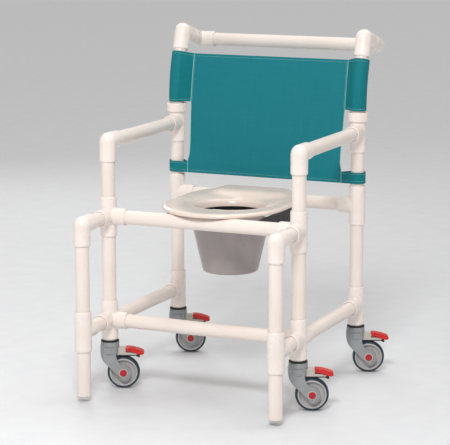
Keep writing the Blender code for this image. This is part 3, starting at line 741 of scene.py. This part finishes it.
def stitch_lines():
    """Start and end of each sewn line, as (flat distance from the middle, rise)."""
    inset = 0.008
    lines = [((-SEAM_X, rise), (SEAM_X, rise)) for rise in (FOOT + inset, TOP - inset)]
    for sign in (-1, 1):
        inside = sign * (SEAM_X - 0.004)
        lines.append(((inside, POCKET_FOOT + 0.002), (inside, TOP - 0.004)))
        for rise in (FOOT + inset, TAB_TOP - 0.005, POCKET_FOOT + 0.006, TOP - inset):
            lines.append(((sign * (SEAM_X + 0.003), rise), (sign * (SEAM_X + 0.095), rise)))
    return lines


def build_stitches():
    """Rows of short sewn threads, each a small bead pressed into the cloth."""
    pitch, length, radius = 0.0042, 0.003, 0.00042
    nudge = 0.0008
    bm = bmesh.new()
    for start, end in stitch_lines():
        run = dist(start, end)
        along = ((end[0] - start[0]) / run, (end[1] - start[1]) / run)
        for stitch in range(int(run / pitch)):
            flat, rise = lerp(start, end, pitch * (stitch + 0.5) / run)
            base = cloth_at(flat, rise)
            across = (cloth_at(flat + nudge, rise) - base).normalized()
            upward = (cloth_at(flat, rise + nudge) - base).normalized()
            facing = across.cross(upward)
            way = (along[0] * across + along[1] * upward).normalized()
            side = way.cross(facing)
            base += (CLOTH_THICKNESS / 2 + 0.4 * radius) * facing
            rings = []
            for step, size in ((-1.0, 0.35), (-0.75, 1), (0.75, 1), (1.0, 0.35)):
                middle_point = base + step * length / 2 * way
                rings.append([middle_point + size * radius * (cos(a) * side + sin(a) * facing)
                              for a in full_turn(6)])
            strung(bm, rings)
    bmesh.ops.recalc_face_normals(bm, faces=bm.faces)
    return piece("sling_stitches", finished(bm, "stitches", crease=60), THREAD, "frame")


# ---- seat ----
SEAT_HALF_WIDTH = extent("commode_seat").x / 2
SEAT_CENTRE_Y = 0.17
SEAT_FRONT_REACH = 0.207
SEAT_REAR_REACH = 0.264
SEAT_CREST_Z = 0.571
SEAT_PLATFORM_Z = 0.583
SEAT_RIM_Z = 0.5575
SEAT_SKIRT_Z = 0.535
HOLE_CENTRE_Y = 0.205
HOLE_HALF_WIDTH = 0.105
HOLE_HALF_LENGTH = 0.11
HINGE = (0.446, 0.568)


def seat_outline(angle, inset):
    """The seat's edge: round in front, squared behind."""
    power = 2 / 4.5 if sin(angle) > 0 else 1
    across = copysign(abs(cos(angle)) ** power, cos(angle))
    along = copysign(abs(sin(angle)) ** power, sin(angle))
    reach = (SEAT_REAR_REACH if along > 0 else SEAT_FRONT_REACH) - inset
    return Vector(((SEAT_HALF_WIDTH - inset) * across, SEAT_CENTRE_Y + reach * along, 0))


def hole_outline(angle, flare):
    return Vector(((HOLE_HALF_WIDTH + flare) * cos(angle),
                   HOLE_CENTRE_Y + (HOLE_HALF_LENGTH + flare) * sin(angle), 0))


def seat_lift(point):
    """How far the raised rear platform lifts the top at a point."""
    across = 1 - ease(abs(point.x), 0.096, 0.15)
    along = ease(point.y, 0.322, 0.362)
    return (SEAT_PLATFORM_Z - SEAT_CREST_Z) * across * along


def dish(angle, share):
    """How far the top falls towards the hole: more at the back than in front."""
    depth = 0.005 + 0.004 * (1 + sin(angle))
    return depth * share ** 2.2


def seat_loop(angles, inset, drop, share=0.0, flare=0.0):
    """A loop below the top, a share of the way from an inset edge to the hole."""
    loop = []
    for angle in angles:
        point = seat_outline(angle, inset).lerp(hole_outline(angle, flare), share)
        height = SEAT_CREST_Z + seat_lift(point) - drop - dish(angle, share)
        loop.append(chair(point.x, point.y, height))
    return loop


def skirt_loop(angles, flare, height):
    """A level loop round the hole."""
    points = [hole_outline(angle, flare) for angle in angles]
    return [chair(point.x, point.y, height) for point in points]


def build_seat():
    """Loops from the rim's foot over the top, down the hole and back underneath."""
    steps = 128
    angles = [angle + pi / steps for angle in full_turn(steps)]
    foot = SEAT_CREST_Z - SEAT_RIM_Z
    wall, flat_inset = 0.004, 0.016
    shares = (0.12, 0.24, 0.36, 0.48, 0.58, 0.68, 0.77, 0.86, 0.94)
    rim = [(0.004, foot), (0.0016, foot - 0.0008), (0.0003, foot - 0.003), (0.0, foot - 0.0055),
           (0.001, 0.0052), (0.0032, 0.0028), (0.0066, 0.001), (0.0108, 0.0001), (flat_inset, 0.0)]
    lip = [(0.013, 0.0008), (0.01, 0.0022), (0.0072, 0.0044), (0.0048, 0.0072), (0.003, 0.0104)]
    skirt = [(0.001, 0.005), (0.0008, 0.0012), (0.0014, 0.0), (0.004, 0.0), (0.0046, 0.0012),
             (0.0062, 0.006), (0.011, 0.011)]
    rim_inside = [(0.012, 0.0046), (0.0085, 0.0065), (0.0075, foot)]
    loops = [seat_loop(angles, inset, drop) for inset, drop in rim]
    loops += [seat_loop(angles, flat_inset, 0, share, flat_inset) for share in shares]
    loops += [seat_loop(angles, 0, drop, 1.0, flare) for flare, drop in lip]
    loops += [skirt_loop(angles, flare, SEAT_SKIRT_Z + rise) for flare, rise in skirt]
    loops += [seat_loop(angles, flat_inset, wall, share, flat_inset + 0.003) for share in shares[::-2]]
    loops += [seat_loop(angles, inset, drop) for inset, drop in rim_inside]
    mesh = loft("seat", loops, closed=True, crease=70)
    seat = piece("seat_shell", mesh, SEAT_PLASTIC, "seat", ["commode_seat"])
    rounding = seat.modifiers.new("rounding", "SUBSURF")
    rounding.levels = 1
    rounding.render_levels = 1
    seat.modifiers.move(1, 0)
    lug_x, lug_half_width, lug_radius = 0.045, 0.01, 0.009
    outline = [(HINGE[0] - 0.024, HINGE[1] - 0.0066)] + arc(HINGE, lug_radius, -100, 98, 18)
    outline += [(HINGE[0] - 0.012, HINGE[1] + 0.0088), (HINGE[0] - 0.024, HINGE[1] + 0.008)]
    for side, sign in (("left", -1), ("right", 1)):
        middle_x = sign * lug_x
        rings = [[chair(x, y, z) for y, z in outline]
                 for x in (middle_x - lug_half_width, middle_x + lug_half_width)]
        soften(piece(f"seat_lug_{side}", loft("lug", rings), SEAT_PLASTIC, "seat"), 0.001)


def build_hinge():
    """The clip on the rear rail, its four ears, and the pin through ears and lugs."""
    half_length, wall = 0.072, 0.004
    ear_spread = degrees(0.25)
    inner = TUBE_RADIUS + 0.0003
    rail = (REAR_Y, SEAT_Z)
    outline = arc(rail, inner + wall, -35, 245, 40) + arc(rail, inner, 245, -35, 40)
    rings = [[chair(x, y, z) for y, z in outline] for x in (-half_length, half_length)]
    clip = piece("hinge_clip_sleeve", loft("clip", rings), SEAT_PLASTIC, "frame", ["seat_hinge_clip"])
    soften(clip, 0.0008)
    facing = degrees(atan2(SEAT_Z - HINGE[1], REAR_Y - HINGE[0]))
    ear = arc(HINGE, 0.0075, facing + 90, facing + 270, 18)
    ear += arc(rail, inner + 0.002, facing + 180 + ear_spread, facing + 180 - ear_spread, 1)
    for index, x in enumerate((-0.059, -0.031, 0.031, 0.059)):
        rings = [[chair(x + w, y, z) for y, z in ear] for w in (-0.003, 0.003)]
        soften(piece(f"hinge_ear_{index + 1}", loft("ear", rings), SEAT_PLASTIC, "frame"), 0.0006)
    pin = [(0.002, -0.068), (0.0055, -0.0675), (0.0062, -0.0668), (0.0062, -0.0652), (0.004, -0.0645),
           (0.004, 0.0655), (0.0034, 0.0662)]
    place = Matrix.Translation(chair(0, *HINGE))
    piece("hinge_pin", turned("pin", pin, X, 32, closed=False), PIN_STEEL, "frame", ["seat_hinge_pin"], place)


# ---- pail and its runners ----
def build_pail():
    rise = PAIL_Z[1] - PAIL_Z[0]
    floor_radius, mouth_radius, wall, corner = 0.086, 0.1195, 0.003, 0.007
    profile = [(0.002, 0.0015), (floor_radius - 0.016, 0.0015), (floor_radius - 0.014, 0.0)]
    profile += arc((floor_radius - corner, corner), corner, -90, -10, 8)
    profile += [(mouth_radius - 0.0015, rise - 0.0085), (mouth_radius + 0.0005, rise - 0.0068),
                (PAIL_FLANGE_RADIUS - 0.0015, rise - 0.0068), (PAIL_FLANGE_RADIUS, rise - 0.0055),
                (PAIL_FLANGE_RADIUS - 0.0005, rise - 0.0038), (PAIL_FLANGE_RADIUS - 0.0035, rise - 0.003),
                (mouth_radius + 0.004, rise - 0.0022), (mouth_radius + 0.0012, rise - 0.0004),
                (mouth_radius - 0.0008, rise), (mouth_radius - wall, rise - 0.0008),
                (mouth_radius - wall - 0.0004, rise - 0.003)]
    profile += arc((floor_radius - wall - corner, corner + wall), corner, 0, -80, 8)
    profile.append((0.002, wall))
    mesh = turned("pail", profile, Z, 128, closed=False, crease=50)
    place = Matrix.Translation(chair(0, PAIL_Y, PAIL_Z[0]))
    piece("pail_shell", mesh, PAIL_PLASTIC, "pail", ["pail"], place)


def build_runners():
    """The runners and their tie keep the frame's solids, with softened edges."""
    for name in ("pail_runner_left", "pail_runner_right", "runner_tie"):
        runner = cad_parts[name]
        # The tie's black is painted shade: it stands in for the dark gap under the seat hole's rear edge.
        runner.data.materials.clear()
        runner.data.materials.append(RUNNER_BLACK_AND_SHADE)
        soften(runner, 0.0006, segments=2)


# ---- casters; x runs along the trail, y across, z up, from the swivel axis on the floor ----
AXLE = Vector((CASTER_TRAIL, 0, WHEEL_RADIUS))
BOSS_RADIUS = 0.025
FORK_HALF_WIDTH = 0.0235
NECK_RADIUS = 0.0302


def slab(outline, half_width):
    """A side view of (x, z) points given a width."""
    return loft("slab", [[Vector((x, y, z)) for x, z in outline] for y in (-half_width, half_width)])


def drum(centre, radius, half_width, sides=64):
    return loft("drum", [ring(centre + y * Y, Y, radius, sides) for y in (-half_width, half_width)])


def evaluated(made):
    """The mesh of an object with its modifiers applied."""
    view = bpy.context.evaluated_depsgraph_get()
    return bpy.data.meshes.new_from_object(made.evaluated_get(view))


def carved(base, tools):
    """The base mesh joined with, cut by or kept within each tool in turn."""
    body = linked("carving", base)
    for operation, mesh in tools:
        tool = linked("tool", mesh)
        step = body.modifiers.new("step", "BOOLEAN")
        step.operation = operation
        step.object = tool
        result = evaluated(body)
        body.modifiers.clear()
        body.data = result
        bpy.data.objects.remove(tool)
    bpy.data.objects.remove(body)
    return result


def melted(mesh, voxel, rounds):
    """A moulding's soft edges: the shape remeshed in small cells and smoothed."""
    body = linked("melting", mesh)
    cells = body.modifiers.new("cells", "REMESH")
    cells.mode = "VOXEL"
    cells.voxel_size = voxel
    smoothing = body.modifiers.new("smoothing", "SMOOTH")
    smoothing.factor = 0.5
    smoothing.iterations = rounds
    result = evaluated(body)
    bpy.data.objects.remove(body)
    result.shade_smooth()
    return result


def fork_mesh():
    """A leg that sweeps from the round neck to the axle boss, slotted for the wheel."""
    leg = [(-0.0275, 0.14), (-0.03, 0.132), (-0.0304, 0.123), (-0.0298, 0.113), (-0.0282, 0.103),
           (-0.0252, 0.0945), (-0.02, 0.0868), (-0.0097, 0.0757)]
    crook = [(0.033, 0.0768), (0.0294, 0.08), (0.0256, 0.0846), (0.0224, 0.0905), (0.0202, 0.097),
             (0.019, 0.106), (0.0184, 0.14)]
    tip = arc((0.0462, 0.0288), 0.0058, -134, -50, 8)
    boss = [(0.0257, 0.04)] + tip + arc((AXLE.x, AXLE.z), BOSS_RADIUS, -50, 96, 34)
    cheeks = slab(leg + boss + crook, FORK_HALF_WIDTH)
    corner = degrees(asin(FORK_HALF_WIDTH / NECK_RADIUS))
    front = WHEEL_RADIUS + CASTER_TRAIL
    plan = arc((0, 0), NECK_RADIUS, 180 - corner, 180 + corner, 14)
    plan += [(front, -FORK_HALF_WIDTH), (front, FORK_HALF_WIDTH)]
    rounding = loft("plan", [[Vector((x, y, z)) for x, y in plan] for z in (-0.02, 0.18)])
    head = turned("head", [(0.0278, 0.11), (0.0285, 0.13), (0.0274, 0.1304), (0.0274, 0.1316),
                           (0.0283, 0.132), (0.0283, 0.144), (0.0274, 0.1462), (0.0258, 0.1468)],
                  Z, 64, closed=False)
    slot = drum(AXLE, WHEEL_RADIUS + 0.0035, 0.0152)
    tools = [("INTERSECT", rounding), ("UNION", head), ("DIFFERENCE", slot)]
    for sign in (-1, 1):
        tools.append(("DIFFERENCE", drum(AXLE + sign * FORK_HALF_WIDTH * Y, 0.014, 0.0014)))
    return melted(carved(cheeks, tools), 0.0009, 6)


def canopy_mesh():
    """The brake's grey lever, from the neck out over the wheel."""
    outline = [(0.015, 0.1042), (0.08, 0.1042), (0.0845, 0.1062), (0.0846, 0.1082), (0.072, 0.1112),
               (0.056, 0.1118), (0.0482, 0.1122), (0.048, 0.1266), (0.04, 0.128), (0.028, 0.1286),
               (0.015, 0.1286)]
    return slab(outline, 0.011)


def pedal_mesh():
    """A red cap over the canopy: a lipped top plate, curved sides and a rounded nose."""
    top = [(0.0487, 0.1286), (0.056, 0.1285), (0.064, 0.1277), (0.072, 0.1263), (0.08, 0.1245),
           (0.088, 0.1221), (0.0946, 0.1198), (0.0995, 0.1174), (0.103, 0.1148), (0.1041, 0.1118)]
    nose = [(0.1037, 0.1086), (0.1014, 0.1062), (0.0978, 0.105), (0.0935, 0.1054), (0.086, 0.1074)]
    under = [(0.079, 0.11), (0.072, 0.113), (0.06, 0.116), (0.0487, 0.1176)]
    sides = slab(top + nose + under, 0.0143)
    plate_under = [(x - 0.0004, z - 0.004) for x, z in reversed(top)]
    plate = slab(top + plate_under, 0.0155)
    room = slab([(0.04, 0.105), (0.04, 0.1246), (0.062, 0.124), (0.079, 0.1204), (0.09, 0.1156),
                 (0.091, 0.1)], 0.0118)
    return melted(carved(sides, [("UNION", plate), ("DIFFERENCE", room)]), 0.0007, 3)


def wheel_mesh():
    """Hub, recessed web and a bright lipped rim; the same on both sides."""
    half = [(0.0045, 0.0146), (0.0105, 0.0146), (0.0125, 0.0138), (0.013, 0.012), (0.0136, 0.01),
            (0.016, 0.0056), (0.032, 0.0052), (0.0336, 0.0056), (0.0348, 0.0066), (0.0362, 0.0086),
            (0.0374, 0.0106), (0.038, 0.012), (0.0386, 0.0128), (0.0398, 0.013),
            (0.0418, 0.013), (0.0427, 0.0124), (0.0429, 0.0108)]
    return turned("wheel", half + [(radius, -width) for radius, width in reversed(half)], Y)


def tyre_mesh():
    """A solid tyre, a little crowned, with rounded shoulders."""
    half = [(0.043, 0.0106), (0.0432, 0.0124), (0.0442, 0.0131), (0.0462, 0.013), (0.0478, 0.012),
            (0.0489, 0.0101), (0.0496, 0.007), (0.0499, 0.0035), (0.05, 0.0012)]
    return turned("tyre", half + [(radius, -width) for radius, width in reversed(half)], Y, 128)


def band_mesh(name, inner, outer, low, high, axis, edge):
    """A flat ring with rounded edges, between two heights up an axis."""
    profile = [(inner, low), (outer - edge, low), (outer, low + edge), (outer, high - edge),
               (outer - edge, high), (inner, high)]
    return turned(name, profile, axis, 64)


def cap_mesh():
    """A shallow domed button."""
    profile = [(0.0106, 0.0), (0.0109, 0.0006), (0.0108, 0.0013), (0.01, 0.0019), (0.008, 0.0024),
               (0.005, 0.0028), (0.0015, 0.0029)]
    return turned("cap", profile, Y, 48, closed=False)


def caster_pieces():
    """Each piece's mesh, finish, body, the CAD node that it replaces, and bevel."""
    dust_ring = band_mesh("dust_ring", 0.018, 0.0279, 0.1472, 0.1508, Z, 0.0008)
    seam_ring = band_mesh("seam_ring", 0.025, 0.0282, 0.1303, 0.1317, Z, 0.0003)
    stem = turned("stem", [(0.016, 0.14), (0.016, 0.198), (0.015, 0.2)], Z, 48, closed=False)
    # The black band under the canopy is a painted shadow: it stands in for the shade on the tyre's top below
    # the lever.
    band = slab([(0.019, 0.1012), (0.0775, 0.1012), (0.0775, 0.1043), (0.019, 0.1043)], 0.0112)
    hook = slab([(0.0785, 0.101), (0.082, 0.0998), (0.088, 0.0968), (0.0908, 0.0976), (0.0912, 0.1028),
                 (0.085, 0.1036), (0.0785, 0.1036)], 0.0112)
    return {
        "fork_shell": (fork_mesh(), CASTER_PLASTIC, "fork", "caster_fork", 0),
        "brake_canopy": (canopy_mesh(), LEVER_PLASTIC, "fork", None, 0.0012),
        "painted_shadow_band": (band, BLACK_PLASTIC, "fork", None, 0.0006),
        "brake_hook": (hook, BLACK_PLASTIC, "pedal", None, 0.0006),
        "dust_ring": (dust_ring, BLACK_PLASTIC, "fork", None, 0),
        "seam_ring": (seam_ring, BLACK_PLASTIC, "fork", None, 0),
        "caster_stem": (stem, PIN_STEEL, "fork", None, 0),
        "pedal_cap": (pedal_mesh(), PEDAL_PLASTIC, "pedal", "brake_pedal", 0),
    }


def build_casters():
    swivelling, cap = caster_pieces(), cap_mesh()
    rolling = {
        "wheel_hub": (wheel_mesh(), WHEEL_PLASTIC, "caster_wheel"),
        "tyre_tread": (tyre_mesh(), TREAD_RUBBER, "caster_tyre"),
    }
    axle_ring = band_mesh("axle_ring", 0.0112, 0.0138, 0.0, 0.0018, Y, 0.0006)
    cap_recess = 0.0013
    for corner in ("front_left", "front_right", "rear_left", "rear_right"):
        x = -HALF_WIDTH if corner.endswith("left") else HALF_WIDTH
        y = 0 if corner.startswith("front") else REAR_Y
        place = Matrix.Translation(chair(x, y, 0)) @ Matrix.Rotation(CASTER_YAW, 4, "Z")
        at_axle = place @ Matrix.Translation(AXLE)
        for name, (mesh, finish, body, node, bevel) in swivelling.items():
            stands_for = [f"{node}_{corner}"] if node else []
            made = piece(f"{name}_{corner}", mesh, finish, f"{body}_{corner}", stands_for, place)
            if bevel:
                soften(made, bevel)
        for name, (mesh, finish, node) in rolling.items():
            piece(f"{name}_{corner}", mesh, finish, f"wheel_{corner}", [f"{node}_{corner}"], at_axle)
        for side, turn in (("near", pi), ("far", 0)):
            outward = at_axle @ Matrix.Rotation(turn, 4, "Z")
            outward @= Matrix.Translation((0, FORK_HALF_WIDTH - cap_recess, 0))
            fork = f"fork_{corner}"
            piece(f"axle_cap_{corner}_{side}", cap, CAP_PLASTIC, fork, (), outward)
            piece(f"axle_ring_{corner}_{side}", axle_ring, LEVER_PLASTIC, fork, (), outward)


# ---- floor, light and camera ----
def build_stage():
    """A wide pale floor, a dim warm world and four soft lamps."""
    bm = bmesh.new()
    bmesh.ops.create_grid(bm, x_segments=2, y_segments=2, size=60)
    floor = linked("floor", finished(bm, "floor"))
    finish = moulded("floor_pale", (226, 228, 230), (222, 224, 227), (0.5, 0.6), grain=200)
    floor.data.materials.append(finish)

    world = bpy.data.worlds.new("studio")
    world.use_nodes = True
    background = world.node_tree.nodes["Background"]
    background.inputs["Color"].default_value = (1.0, 0.95, 0.91, 1)
    background.inputs["Strength"].default_value = 0.33
    bpy.context.scene.world = world

    aim = chair(0, 0.2, 0.5)
    lamps = {
        "key": ("AREA", (1.1, -3.1, 3.7), {"size": 1.1, "energy": 128}),
        "fill": ("AREA", (-3.2, -2.4, 1.7), {"size": 2.4, "energy": 18}),
        "back": ("AREA", (-2.6, 3.0, 2.2), {"size": 1.6, "energy": 20}),
        "overhead": ("SUN", (0.2, 1.2, 3.4), {"angle": radians(50), "energy": 1.2}),
    }
    for name, (kind, place, settings) in lamps.items():
        light = bpy.data.lights.new(name, kind)
        for setting, value in settings.items():
            setattr(light, setting, value)
        lamp = linked(name, light)
        lamp.location = chair(*place)
        lamp.rotation_euler = (aim - lamp.location).to_track_quat("-Z", "Y").to_euler()


def build_camera():
    """The camera looks at the chair from its right front, a little above."""
    azimuth, elevation, roll = radians(24.22), radians(10.53), radians(-0.066)
    distance = 5.85
    target = chair(-0.014, 0.2, 0.504)
    back = Vector((sin(azimuth) * cos(elevation), -cos(azimuth) * cos(elevation),
                   sin(elevation)))
    data = bpy.data.cameras.new("camera")
    data.sensor_width = 36
    data.lens = 152.7
    data.clip_end = 200
    camera = linked("camera", data)
    facing = (-back).to_track_quat("-Z", "Y").to_matrix().to_4x4()
    place = Matrix.Translation(target + distance * back)
    camera.matrix_world = place @ facing @ Matrix.Rotation(roll, 4, "Z")
    bpy.context.scene.camera = camera


build_camera()
build_frame()
build_sling()
build_seat()
build_hinge()
build_pail()
build_runners()
build_casters()
build_stage()
bpy.context.scene.view_settings.view_transform = "Standard"
